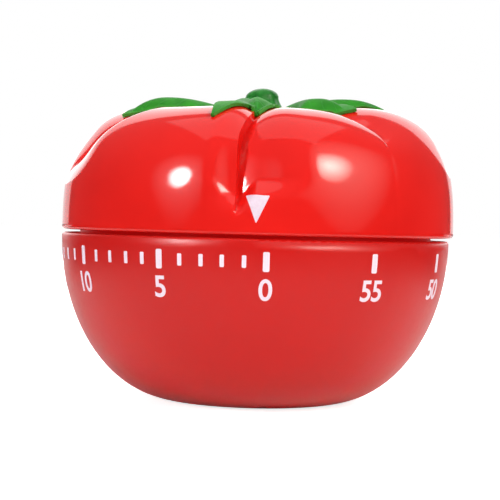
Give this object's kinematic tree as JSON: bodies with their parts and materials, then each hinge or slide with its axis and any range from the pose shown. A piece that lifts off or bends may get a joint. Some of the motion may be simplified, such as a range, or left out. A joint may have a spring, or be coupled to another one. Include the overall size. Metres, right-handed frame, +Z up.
{
  "type": "kitchen timer",
  "caption": "Tomato-shaped wind-up kitchen timer: lobed upper shell turns as the dial over a scaled lower shell, with spring movement, hammer and bell inside.",
  "frame": {"origin": "middle of the foot, on the surface the timer stands on", "axes": "+Z up along the main arbor; the pointer and the zero of the scale face -Y"},
  "size_m": [0.065, 0.065, 0.0525],
  "materials": {
    "upper_shell": "high gloss, polished mould",
    "lower_shell": "gloss, a little softer than the upper shell, white printed scale",
    "deck": "plain moulded",
    "leaves": "glossy green with paler edges and moulded veins",
    "stem": "glossy dark green",
    "plates": "zinc plated",
    "pillars": "turned",
    "screws": "zinc plated",
    "arbors": "turned and polished",
    "wheels": "stamped",
    "spring_steel": "blued",
    "bell": "nickel plated"
  },
  "bodies": {
    "base": {"lower_shell": "lower_shell", "movement_deck": "deck", "deck_screws": "screws", "movement_screws": "screws", "bottom_plate": "plates", "top_plate": "plates", "plate_pillars": "pillars", "bell": "bell", "bell_post": "pillars", "bell_screw": "screws", "mainspring": "spring_steel", "release_spring": "spring_steel", "hammer_spring": "spring_steel"},
    "dial": {"upper_shell": "upper_shell", "dial_hub": "deck", "calyx": "leaves", "stem": "stem", "main_arbor": "arbors", "main_wheel": "wheels", "ratchet_wheel": "arbors", "click": "arbors", "click_spring": "spring_steel", "release_cam": "wheels"},
    "second_arbor": {"second_pinion": "arbors", "second_wheel": "wheels"},
    "third_arbor": {"third_pinion": "arbors", "third_wheel": "wheels", "hammer_star": "arbors"},
    "escape_arbor": {"escape_pinion": "arbors", "escape_wheel": "wheels"},
    "balance": {"pallet_anchor": "arbors", "balance_bar": "wheels"},
    "hammer": {"hammer_lever": "arbors", "hammer_head": "wheels"}
  },
  "joints": [
    {"name": "dial_turn", "type": "hinge", "parent": "base", "child": "dial", "pos_m": [0, 0, 0.0275], "axis": [0, 0, -1], "range_deg": [-3.75, 326.25], "deforming": ["mainspring", "release_spring"]},
    {"name": "second_arbor_turn", "type": "hinge", "parent": "base", "child": "second_arbor", "pos_m": [-0.00207, 0.01172, 0.0121], "axis": [0, 0, -1], "range_deg": [-2450, 30]},
    {"name": "third_arbor_turn", "type": "hinge", "parent": "base", "child": "third_arbor", "pos_m": [-0.01102, 0.00898, 0.0121], "axis": [0, 0, -1], "range_deg": [-230, 19580]},
    {"name": "escape_arbor_turn", "type": "hinge", "parent": "base", "child": "escape_arbor", "pos_m": [-0.01647, 0.00324, 0.0121], "axis": [0, 0, -1], "range_deg": [-156620, 1820]},
    {"name": "balance_swing", "type": "hinge", "parent": "base", "child": "balance", "pos_m": [-0.01647, -0.00391, 0.0121], "axis": [0, 0, 1], "range_deg": [-5, 5]},
    {"name": "hammer_swing", "type": "hinge", "parent": "base", "child": "hammer", "pos_m": [-0.01072, 0.01758, 0.0121], "axis": [0, 0, 1], "range_deg": [0, 7]}
  ],
  "couplings": [
    {"joint": "second_arbor_turn", "follows": "dial_turn", "ratio": -7.5},
    {"joint": "third_arbor_turn", "follows": "dial_turn", "ratio": 60},
    {"joint": "escape_arbor_turn", "follows": "dial_turn", "ratio": -480}
  ]
}
